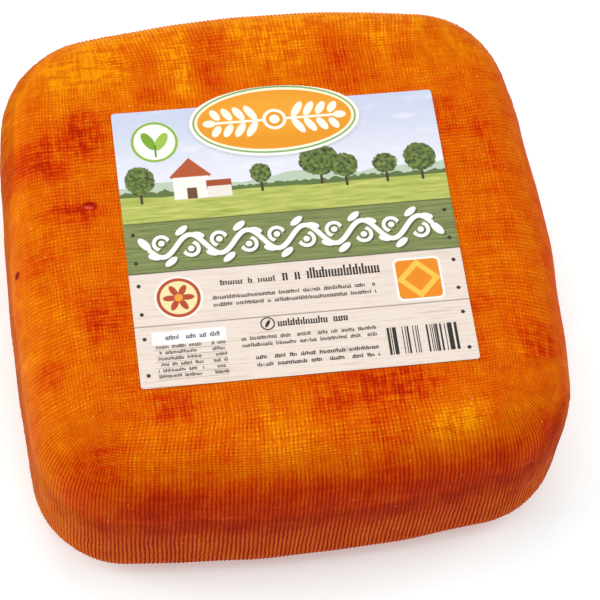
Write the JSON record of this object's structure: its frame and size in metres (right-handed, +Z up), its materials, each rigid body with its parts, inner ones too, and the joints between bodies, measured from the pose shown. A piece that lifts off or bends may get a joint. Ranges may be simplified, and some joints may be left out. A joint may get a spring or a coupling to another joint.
{
  "type": "mahon cheese",
  "caption": "Whole square block of hard cheese with rounded corners, an orange cloth-marked rind and a flat paper label on its top face.",
  "frame": {"origin": "centre of the bounding box on the floor, on the flat foot of the block", "axes": "+Z up, square to the flat foot and the top face; X and Y along the block's sides; the side nearest the picture's camera faces -Y, and the label reads upright from there"},
  "size_m": [0.2014, 0.2046, 0.0744],
  "materials": {
    "rind": "waxy orange cheese rind rubbed with oil and paprika, marked by a cloth, satin",
    "label": "printed paper, semi-gloss"
  },
  "bodies": {
    "root": {"cheese": "rind", "label": "label"}
  },
  "joints": []
}
